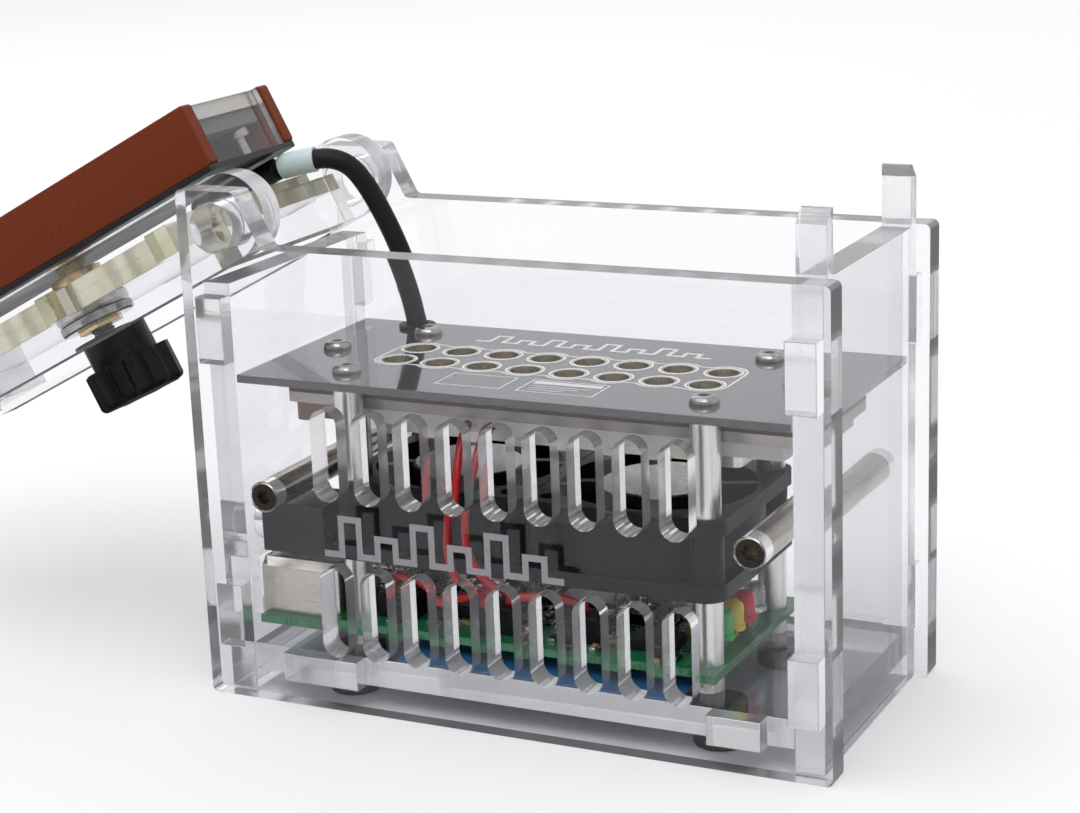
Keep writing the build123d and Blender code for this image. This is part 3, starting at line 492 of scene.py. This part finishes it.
def ribbon(bm, points, width, place, depth, closed=False):
    """A flat printed line along 2-D points; place(x, y, height) puts a point in the model."""
    count = len(points)
    rails = []
    for i, point in enumerate(points):
        here = Vector(point)
        before = Vector(points[i - 1]) if closed or i > 0 else None
        after = Vector(points[(i + 1) % count]) if closed or i < count - 1 else None
        first = (here - before).normalized() if before is not None else (after - here).normalized()
        second = (after - here).normalized() if after is not None else first
        normal = Vector((-first.y - second.y, first.x + second.x))
        normal.normalize()
        reach = width / 2 / max(0.5, normal.dot(Vector((-second.y, second.x))))
        rails.append((here + normal * reach, here - normal * reach))
    rings = []
    for left, right in rails:
        rings.append(
            [
                bm.verts.new(place(left.x, left.y, 0.0)),
                bm.verts.new(place(left.x, left.y, depth)),
                bm.verts.new(place(right.x, right.y, depth)),
                bm.verts.new(place(right.x, right.y, 0.0)),
            ]
        )
    pairs = list(zip(rings, rings[1:]))
    if closed:
        pairs.append((rings[-1], rings[0]))
    else:
        bm.faces.new(rings[0])
        bm.faces.new(list(reversed(rings[-1])))
    for a, b in pairs:
        for k in range(4):
            bm.faces.new((a[k], a[(k + 1) % 4], b[(k + 1) % 4], b[k]))


def patch(bm, corners, place, depth):
    """A flat printed area."""
    low = [bm.verts.new(place(x, y, 0.0)) for x, y in corners]
    high = [bm.verts.new(place(x, y, depth)) for x, y in corners]
    bm.faces.new(high)
    bm.faces.new(list(reversed(low)))
    for k in range(len(corners)):
        n = (k + 1) % len(corners)
        bm.faces.new((low[k], low[n], high[n], high[k]))


def circle(x, y, radius, count, start=0.0, sweep=2 * math.pi):
    """That many points round a circle or along an arc of it."""
    steps = count if abs(sweep) > 6.28 else count - 1
    angles = [start + sweep * k / steps for k in range(count)]
    return [(x + radius * math.cos(a), y + radius * math.sin(a)) for a in angles]


def lathe(bm, profile, place, count=48):
    """Turns (radius, height) points round an axis; place(x, y, height) puts them in the model."""
    rings = []
    for radius, height in profile:
        if radius < 1e-6:
            rings.append([bm.verts.new(place(0.0, 0.0, height))])
        else:
            around = circle(0, 0, radius, count)
            rings.append([bm.verts.new(place(x, y, height)) for x, y in around])
    for a, b in zip(rings, rings[1:]):
        for k in range(count):
            n = (k + 1) % count
            if len(a) == 1:
                bm.faces.new((a[0], b[k], b[n]))
            elif len(b) == 1:
                bm.faces.new((a[k], a[n], b[0]))
            else:
                bm.faces.new((a[k], a[n], b[n], b[k]))


def block(bm, low, high, ease=0.0, index=0):
    """A box from corner to corner, in mm, with its edges eased."""
    sides = [Vector(low) * MM, Vector(high) * MM]
    middle = (sides[0] + sides[1]) / 2
    size = sides[1] - sides[0]
    made = bmesh.ops.create_cube(bm, size=1.0)["verts"]
    for v in made:
        v.co = Vector((v.co.x * size.x, v.co.y * size.y, v.co.z * size.z)) + middle
    faces = {f for v in made for f in v.link_faces}
    for f in faces:
        f.material_index = index
    if ease:
        edges = list({e for v in made for e in v.link_edges})
        bmesh.ops.bevel(
            bm,
            geom=edges,
            offset=ease * MM,
            segments=2,
            profile=0.6,
            affect="EDGES",
            clamp_overlap=True,
        )


# ================================================================ the case
clear_sheet("front_panel", (0, 1, 0), "Y")
clear_sheet("back_panel", (0, 1, 0), "Y")
clear_sheet("left_end_panel", (1, 0, 0), "X")
clear_sheet("right_end_panel", (1, 0, 0), "X")
refined(
    "base_panel",
    [BASE_FACE, EDGES["Z"], BASE_SHADED_UNDERSIDE],
    SHEET_EASE,
    SHEET_GAP,
    pick=lambda n: 2 if n.z < -0.9 else 0 if n.z > 0.9 else 1,
)
clear_sheet("hinge_pins", (0, 1, 0), "Y")
clear_sheet("lid_front_arm", (0, 1, 0), "Y")
clear_sheet("lid_back_arm", (0, 1, 0), "Y")
clear_sheet("lid_plate", OUTWARD, "tabs")
clear_sheet("lid_heel_rib", ALONG, "tabs")
clear_sheet("lid_end_rib", ALONG, "lid")
clear_sheet("lid_grip", OUTWARD, "lid")
clear_sheet("housing_inner_end", ALONG, "lid")
clear_sheet("housing_outer_end", ALONG, "lid")

# how far each other node's edges are eased, mm
EASED = {
    "rubber_feet": 0.0,
    "tie_rods": 0.12,
    "lower_standoffs": 0.2,
    "upper_standoffs": 0.2,
    "top_plate": 0.12,
    "plate_screws": 0.08,
    "sample_block": 0.12,
    "upper_clamp_plate": 0.12,
    "heater_mat": 0.15,
    "lower_clamp_plate": 0.12,
    "insulating_board": 0.2,
    "cutout_block": 0.3,
    "left_fan_frame": 0.3,
    "right_fan_frame": 0.3,
    "fan_labels": 0.05,
    "circuit_board": 0.1,
    "insulating_sheet": 0.05,
    "usb_socket": 0.15,
    "usb_tongue": 0.15,
    "power_socket": 0.25,
    "green_lamp": 0.0,
    "yellow_lamp": 0.0,
    "red_lamp": 0.0,
    "clear_lamp": 0.0,
    "control_chips": 0.1,
    "capacitors": 0.0,
    "wire_plugs": 0.2,
    "choke": 0.25,
    "red_wires": 0.0,
    "cable_grommet": 0.2,
    "screw_insert": 0.15,
    "screw_washer": 0.1,
    "cable_sleeve": 0.0,
    "mounting_plate": 0.1,
    "housing_front_wall": 0.35,
    "housing_back_wall": 0.35,
    "heated_plate": 0.25,
    "insulating_pad": 0.3,
    "housing_screws": 0.15,
    "thrust_pad": 0.2,
    "knob": 0.45,
}
OWN_LOOKS = {
    "tie_rods": [FINISH["rod_steel"], ROD_END],
    "upper_clamp_plate": [CLAMP_METAL],
    "lower_clamp_plate": [CLAMP_METAL],
    "heater_mat": [MAT_EDGE],
    "cutout_block": [TAN_BLOCK],
}
for node_name, ease in EASED.items():
    looks = OWN_LOOKS.get(node_name)
    ends = (lambda n: 1 if abs(n.y) > 0.9 else 0) if node_name == "tie_rods" else None
    refined(node_name, looks, ease, pick=ends, segments=3 if ease > 0.3 else 2)


# ================================================================ print on the plate and panel
INK = 0.03  # how far the print stands up


def on_plate(x, y, height):
    return Vector((x, y, PLATE_TOP + 0.01 + height)) * MM


def on_front(x, z, height):
    return Vector((x, FRONT_Y - height, z)) * MM


def at_well(x, y):
    """A place function for one well: across from its axis, and up from the plate's top."""

    def place(a, b, height):
        return Vector((x + a, y + b, PLATE_TOP + height)) * MM

    return place


WELL_X = [WELL_PITCH * (k - 3.5) for k in range(8)]
LAST = len(WELL_X) - 1
ROWS = (-WELL_PITCH / 2, WELL_PITCH / 2)
bm = bmesh.new()
for y in ROWS:
    for x in WELL_X:
        ribbon(bm, circle(x, y, 3.55, 36), 0.55, on_plate, INK, closed=True)

# scalloped line round all the wells: over the back row to the right, and back by the front row
SCALLOP_RADIUS = 4.35
SCALLOP, END_SCALLOP = math.radians(-100), math.radians(-140)
outline = []
for k, x in enumerate(WELL_X):
    begin = math.radians(140 if k > 0 else 180)
    outline += circle(x, ROWS[1], SCALLOP_RADIUS, 7, begin, SCALLOP if k < LAST else END_SCALLOP)
for k, x in reversed(list(enumerate(WELL_X))):
    begin = math.radians(-40 if k < LAST else 0)
    outline += circle(x, ROWS[0], SCALLOP_RADIUS, 7, begin, SCALLOP if k > 0 else END_SCALLOP)
ribbon(bm, outline, 0.5, on_plate, INK, closed=True)

# two plain printed frames in front of the wells, the right one with a bar and three rules in it
for left, right in ((-16.0, -3.0), (0.5, 15.5)):
    low, high = -18.5, -10.5
    frame_line = [(left, low), (right, low), (right, high), (left, high)]
    ribbon(bm, frame_line, 0.35, on_plate, INK, closed=True)
patch(bm, [(1.2, -13.0), (14.8, -13.0), (14.8, -11.2), (1.2, -11.2)], on_plate, INK)
for k in range(3):
    rule_y = -14.4 - 1.3 * k
    ribbon(bm, [(2.0, rule_y), (13.6 - 2.2 * k, rule_y)], 0.3, on_plate, INK)
plate_print = link_mesh("plate_print", bm, [INK_WHITE])
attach(plate_print, "case")

# bright rounded rims of the wells: radius, height
RIM = ((3.16, -1.6), (3.16, 0.0), (3.05, 0.06), (2.9, 0.0), (2.86, -1.6), (3.16, -1.6))
bm = bmesh.new()
for y in ROWS:
    for x in WELL_X:
        lathe(bm, RIM, at_well(x, y), 40)
well_rims = link_mesh("well_rims", bm, [INK_GOLD])
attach(well_rims, "case")


def cycle_line(left, low, step, rise, cycles):
    """A plain temperature trace: hot, cool and warm levels, over and over."""
    points = [(left, low)]
    x = left
    warm = low + 0.55 * rise
    for k in range(cycles):
        points += [(x + step, low), (x + step, low + rise), (x + 2 * step, low + rise)]
        points += [(x + 2 * step, low), (x + 3 * step, low), (x + 3 * step, warm)]
        points += [(x + 4 * step, warm), (x + 4 * step, low)]
        x += 4 * step
    points.append((x + step, low))
    return points


bm = bmesh.new()
ribbon(bm, cycle_line(left=-36.0, low=31.5, step=3.8, rise=7.0, cycles=3), 1.25, on_front, INK)
front_print = link_mesh("front_print", bm, [INK_SILVER])
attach(front_print, "case")

bm = bmesh.new()
ribbon(bm, cycle_line(left=-24.0, low=13.4, step=2.9, rise=4.6, cycles=4), 0.8, on_plate, INK)
plate_motif = link_mesh("plate_motif", bm, [INK_WHITE])
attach(plate_motif, "case")

# ================================================================ fans
BLADES = 7
ROTOR_LOW = FAN_LOW + 1.2
ROTOR_TOP = FAN_LOW + 12.5
# radius, height
HUB = (
    (0.0, ROTOR_LOW),
    (9.8, ROTOR_LOW),
    (10.9, ROTOR_LOW + 0.5),
    (11.3, ROTOR_LOW + 1.5),
    (11.3, ROTOR_TOP - 0.5),
    (10.9, ROTOR_TOP - 0.05),
    (9.0, ROTOR_TOP),
    (1.0, ROTOR_TOP),
    (1.0, ROTOR_TOP + 1.5),
    (0.0, ROTOR_TOP + 1.5),
)
BLADE_ROOT, BLADE_LENGTH = 11.1, 6.6
BLADE_ARC = math.radians(34)  # what one blade covers round the hub
BLADE_SWEEP = math.radians(14)  # how far its tip lags
BLADE_MIDDLE = FAN_LOW + 6.9
BLADE_RISE, RISE_LOST = 9.6, 1.6  # height from edge to edge at the root, and the tip's loss
BLADE_CAMBER = 2.6
BLADE_HALF = 0.45  # half its thickness
SPANS, CHORDS = 8, 10


def blade_side(bm, place, blade, side):
    """A grid of vertices for one side of a swept, twisted blade: rows out along its span."""
    grid = []
    for i in range(SPANS + 1):
        out = i / SPANS
        radius = BLADE_ROOT + BLADE_LENGTH * out
        row = []
        for j in range(CHORDS + 1):
            t = j / CHORDS - 0.5
            angle = 2 * math.pi * blade / BLADES + BLADE_ARC * t - BLADE_SWEEP * out * out
            rise = (BLADE_RISE - RISE_LOST * out) * t + BLADE_CAMBER * (0.25 - t * t)
            thick = BLADE_HALF * math.sqrt(max(0.05, 1 - (2 * t) ** 2)) * side
            across = (radius * math.cos(angle), radius * math.sin(angle))
            row.append(bm.verts.new(place(*across, BLADE_MIDDLE + rise + thick)))
        grid.append(row)
    return grid


def rotor(body, centre):
    """Domed hub with seven blades."""
    bm = bmesh.new()

    def place(x, y, z):
        return Vector((centre + x, y, z)) * MM

    lathe(bm, HUB, place)
    for k in range(BLADES):
        upper, lower = blade_side(bm, place, k, 1), blade_side(bm, place, k, -1)
        for i in range(SPANS):
            for j in range(CHORDS):
                bm.faces.new((upper[i][j], upper[i + 1][j], upper[i + 1][j + 1], upper[i][j + 1]))
                bm.faces.new((lower[i][j], lower[i][j + 1], lower[i + 1][j + 1], lower[i + 1][j]))
        for i in range(SPANS):
            for j in (0, CHORDS):
                bm.faces.new((upper[i][j], lower[i][j], lower[i + 1][j], upper[i + 1][j]))
        for j in range(CHORDS):
            for i in (0, SPANS):
                bm.faces.new((upper[i][j], upper[i][j + 1], lower[i][j + 1], lower[i][j]))
    made = link_mesh(f"{body}_blades", bm, [FINISH["fan_plastic"]])
    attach(made, body)
    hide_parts(f"{body}_rotor")


rotor("left_fan", -FAN_X)
rotor("right_fan", FAN_X)

# ================================================================ small parts on the board
random.seed(11)
# left, right, front and back of the areas taken by the CAD's parts, to which free() adds
TAKEN = [
    # data socket
    (-55.3, -39.5, -20.5, -7.5),
    # plug housings
    (-47.5, -38.5, 14.9, 21.9),
    (-33.0, -24.2, -18.0, -12.0),
    (-11.5, -2.5, -19.0, -13.0),
    (5.5, 14.5, -18.0, -12.0),
    # chips
    (-23.5, -10.5, -13.5, -4.5),
    (-2.5, 10.5, -0.5, 12.5),
    (19.0, 29.0, -17.5, -10.5),
    # can capacitors
    (-34.7, -27.3, 2.3, 9.7),
    (-11.1, -4.9, -1.1, 5.1),
    (18.8, 26.2, -0.7, 6.7),
    (27.3, 32.7, 8.8, 14.2),
    # choke
    (13.0, 27.2, 8.5, 17.5),
    # lamps
    (32.6, 38.5, -10.8, 10.8),
]
STANDOFF_X, STANDOFF_Y, STANDOFF_HALF = 36, 16, 3.6
for sx in (-1, 1):
    for sy in (-1, 1):
        x, y = sx * STANDOFF_X, sy * STANDOFF_Y
        TAKEN.append((x - STANDOFF_HALF, x + STANDOFF_HALF, y - STANDOFF_HALF, y + STANDOFF_HALF))
MOST_TAKEN = 190
SPACE_BETWEEN = 0.5

# what the parts are made of
METAL, BLACK, GOLD, CREAM, AMBER = range(5)
BOARD_LOOKS = ("can_metal", "black_plastic", "brass", "cream_ferrite", "amber_mat")
HEADERS = ((15.0, 2.5, 2), (10.0, 2.5, 2))  # length, width, how many
PIN_PITCH = 2.54
SMALL = (
    # length, width, height, body, metal ends
    (2.0, 1.25, 0.55, BLACK, True),
    (2.0, 1.25, 0.85, CREAM, True),
    (3.2, 1.6, 0.6, BLACK, True),
    (3.0, 1.5, 1.1, BLACK, False),
    (3.4, 1.9, 1.7, AMBER, True),
)


def free(x, y, rx, ry):
    """True where a part of that half size fits on the board, and takes the place."""
    if not (-53.5 < x - rx and x + rx < 38.3 and abs(y) + ry < 20.6):
        return False
    for left, right, low, high in TAKEN:
        if left < x + rx and x - rx < right and low < y + ry and y - ry < high:
            return False
    rx, ry = rx + SPACE_BETWEEN, ry + SPACE_BETWEEN
    TAKEN.append((x - rx, x + rx, y - ry, y + ry))
    return True


def board_block(x, y, length, width, low, high, ease, look):
    """A box centred on x, y, from low to high over the board's top."""
    corner = (x - length / 2, y - width / 2, BOARD_TOP + low)
    block(bm, corner, (x + length / 2, y + width / 2, BOARD_TOP + high), ease, look)


bm = bmesh.new()
for length, width, count in HEADERS:
    for _ in range(count):
        for _ in range(200):
            x, y = random.uniform(-48, 34), random.uniform(-20, 20)
            if free(x, y, length / 2, width / 2):
                board_block(x, y, length, width, 0.02, 2.6, 0.2, BLACK)
                pins = int(length / PIN_PITCH)
                for n in range(pins):
                    pin_x = x + (n - (pins - 1) / 2) * PIN_PITCH
                    board_block(pin_x, y, 0.64, 0.64, 2.5, 7.6, 0.1, GOLD)
                break
for _ in range(900):
    length, width, height, body, ends = random.choice(SMALL)
    turned = random.random() < 0.5
    if turned:
        length, width = width, length
    x, y = random.uniform(-53, 38), random.uniform(-20.5, 20.5)
    if not free(x, y, length / 2, width / 2):
        continue
    board_block(x, y, length, width, 0.02, height, 0.08, body)
    if ends:
        for side in (-1, 1):
            if turned:
                cap = (x, y + side * width / 2, length + 0.06, 0.44)
            else:
                cap = (x + side * length / 2, y, 0.44, width + 0.06)
            board_block(*cap, 0.01, height + 0.03, 0.05, METAL)
    if len(TAKEN) > MOST_TAKEN:
        break
board_parts = link_mesh("board_parts", bm, [FINISH[look] for look in BOARD_LOOKS])
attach(board_parts, "case")

# ================================================================ pressure screw
THREAD_PITCH = 1.0  # one turn of the knob moves the heated assembly this far
THREAD_RADIUS, THREAD_DEPTH = 2.5, 0.42
END_TAPER, END_LENGTH = 0.4, 0.5
SCREW_LOW, SCREW_HIGH = -6.7, 13.8
AROUND = 32
STEPS = 220


def along_lid(x, y, height):
    """A point beside the pressure screw's axis, height mm out from the lid's pivot line."""
    return (HINGE + ALONG * (SCREW_U + x) + OUTWARD * height + Vector((0, y, 0))) * MM


bm = bmesh.new()
rings = []
for i in range(STEPS + 1):
    height = SCREW_LOW + (SCREW_HIGH - SCREW_LOW) * i / STEPS
    full = min(1.0, (height - SCREW_LOW) / END_LENGTH, (SCREW_HIGH - height) / END_LENGTH)
    ring = []
    for k in range(AROUND):
        turn = k / AROUND
        phase = (height / THREAD_PITCH + turn) % 1.0
        radius = THREAD_RADIUS - THREAD_DEPTH * abs(2 * phase - 1) - END_TAPER * (1 - full)
        across = (radius * math.cos(2 * math.pi * turn), radius * math.sin(2 * math.pi * turn))
        ring.append(bm.verts.new(along_lid(*across, height)))
    rings.append(ring)
for a, b in zip(rings, rings[1:]):
    for k in range(AROUND):
        bm.faces.new((a[k], a[(k + 1) % AROUND], b[(k + 1) % AROUND], b[k]))
bm.faces.new(list(reversed(rings[0])))
bm.faces.new(rings[-1])
screw = link_mesh("screw_thread", bm, [FINISH["screw_steel"]], math.radians(60))
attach(screw, "pressure_knob")
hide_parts("pressure_screw")


# ================================================================ lid cable
def smooth_line(name, route):
    """A smooth curve through the route, and the points read back from it, in metres."""
    data = bpy.data.curves.new(name, "CURVE")
    data.dimensions = "3D"
    spline = data.splines.new("NURBS")
    spline.points.add(len(route) - 1)
    for point, place in zip(spline.points, route):
        point.co = (*(c * MM for c in place), 1.0)
    spline.order_u = 3
    spline.use_endpoint_u = True
    spline.resolution_u = 8
    holder = bpy.data.objects.new(name, data)
    bpy.context.scene.collection.objects.link(holder)
    bpy.context.view_layer.update()
    graph = bpy.context.evaluated_depsgraph_get()
    line = bpy.data.meshes.new_from_object(holder.evaluated_get(graph))
    points = [v.co.copy() for v in line.vertices]
    bpy.data.objects.remove(holder)
    bpy.data.meshes.remove(line)
    return points


TUBE_SIDES = 28


def tube(bm, points, radius, ends=True):
    """A round tube along points, closed at its ends or open. Returns its rings of vertices."""
    tangents = []
    for i in range(len(points)):
        a, b = points[max(0, i - 1)], points[min(len(points) - 1, i + 1)]
        tangents.append((b - a).normalized())
    side = tangents[0].orthogonal().normalized()
    rings = []
    for point, tangent in zip(points, tangents):
        side = (side - tangent * side.dot(tangent)).normalized()
        up = tangent.cross(side)
        ring = []
        for k in range(TUBE_SIDES):
            angle = 2 * math.pi * k / TUBE_SIDES
            outward = side * math.cos(angle) + up * math.sin(angle)
            ring.append(bm.verts.new(point + outward * radius))
        rings.append(ring)
    for a, b in zip(rings, rings[1:]):
        for k in range(TUBE_SIDES):
            n = (k + 1) % TUBE_SIDES
            bm.faces.new((a[k], a[n], b[n], b[k]))
    if ends:
        bm.faces.new(list(reversed(rings[0])))
        bm.faces.new(rings[-1])
    return rings


cable_points = smooth_line("cable_line", CABLE_ROUTE)
bm = bmesh.new()
tube(bm, cable_points, CABLE_RADIUS * MM)
cable = link_mesh("lid_cable_shown", bm, [FINISH["black_rubber"]])
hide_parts("lid_cable")

# pale shrink tube over the cable's first stretch
LABEL_END_X = -57.9
LABEL_INSIDE, LABEL_OUTSIDE = 2.06 * MM, 2.5 * MM
bm = bmesh.new()
label_points = [p for p in cable_points if p.x < LABEL_END_X * MM]
outer = tube(bm, label_points, LABEL_OUTSIDE, ends=False)
inner = tube(bm, label_points, LABEL_INSIDE, ends=False)
for k in range(TUBE_SIDES):
    n = (k + 1) % TUBE_SIDES
    bm.faces.new((outer[0][k], outer[0][n], inner[0][n], inner[0][k]))
    bm.faces.new((outer[-1][k], inner[-1][k], inner[-1][n], outer[-1][n]))
label = link_mesh("cable_label_shown", bm, [FINISH["pale_tube"]])
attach(label, "lid")
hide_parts("cable_label")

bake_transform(cable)

# ================================================================ floor, lights and world
bpy.ops.mesh.primitive_plane_add(size=6.0, location=(0, 0, 0))
floor = bpy.context.object
floor.name = "floor"
paint = Paint("floor_white", (0.90, 0.90, 0.90), 0.9)
paint.set("Specular IOR Level", 0.1)
uneven = paint.noise(paint.space((3, 3, 3)))
pale = paint.blend(uneven, (0.895, 0.895, 0.897), (0.905, 0.905, 0.907))
# darker in mirror reflections only, so that the clear panels don't veil what is inside them
ray = paint.node("ShaderNodeLightPath").outputs
reflected = paint.math("GREATER_THAN", ray["Is Glossy Ray"], ray["Is Transmission Ray"])
paint.colour(paint.blend(reflected, pale, (0.08, 0.08, 0.09)))
floor.data.materials.append(paint.mat)


def soft_light(name, place, aim, size, power):
    data = bpy.data.lights.new(name, "AREA")
    data.shape = "RECTANGLE"
    data.size, data.size_y = size
    data.energy = power
    lamp = bpy.data.objects.new(name, data)
    bpy.context.scene.collection.objects.link(lamp)
    lamp.location = place
    lamp.rotation_euler = (Vector(aim) - Vector(place)).to_track_quat("-Z", "Y").to_euler()


soft_light("key", (0.45, -0.9, 1.3), (0, 0, 0.05), (0.9, 0.6), 5.5)
soft_light("rim", (-0.7, 0.9, 0.8), (0, 0, 0.05), (0.8, 0.5), 1.2)

sun_data = bpy.data.lights.new("overhead", "SUN")
sun_data.energy = 0.87
sun_data.angle = math.radians(60)
sun = bpy.data.objects.new("overhead", sun_data)
sun.rotation_euler = (math.radians(18), math.radians(-12), 0)
bpy.context.scene.collection.objects.link(sun)

# a bright room above, dimmer low down on the camera's side, as round a product table
world = bpy.data.worlds.new("studio")
bpy.context.scene.world = world
world.use_nodes = True
tree = world.node_tree


def eased_range(output, low, high):
    """0 below low, 1 above high and smooth between."""
    made = tree.nodes.new("ShaderNodeMapRange")
    made.inputs["From Min"].default_value = low
    made.inputs["From Max"].default_value = high
    made.interpolation_type = "SMOOTHSTEP"
    tree.links.new(output, made.inputs["Value"])
    return made.outputs[0]


direction = tree.nodes.new("ShaderNodeTexCoord")
parts = tree.nodes.new("ShaderNodeSeparateXYZ")
tree.links.new(direction.outputs["Generated"], parts.inputs[0])
bright = tree.nodes.new("ShaderNodeMath")
bright.operation = "MAXIMUM"
tree.links.new(eased_range(parts.outputs["Z"], 0.02, 0.55), bright.inputs[0])
tree.links.new(eased_range(parts.outputs["Y"], -0.75, 0.1), bright.inputs[1])
sky = tree.nodes.new("ShaderNodeMix")
sky.data_type = "RGBA"
sky.inputs[6].default_value = (0.34, 0.34, 0.355, 1.0)
sky.inputs[7].default_value = (0.92, 0.92, 0.93, 1.0)
tree.links.new(bright.outputs[0], sky.inputs[0])
background = tree.nodes["Background"]
tree.links.new(sky.outputs[2], background.inputs["Color"])
background.inputs["Strength"].default_value = 0.80
bpy.context.scene.view_settings.view_transform = "Standard"
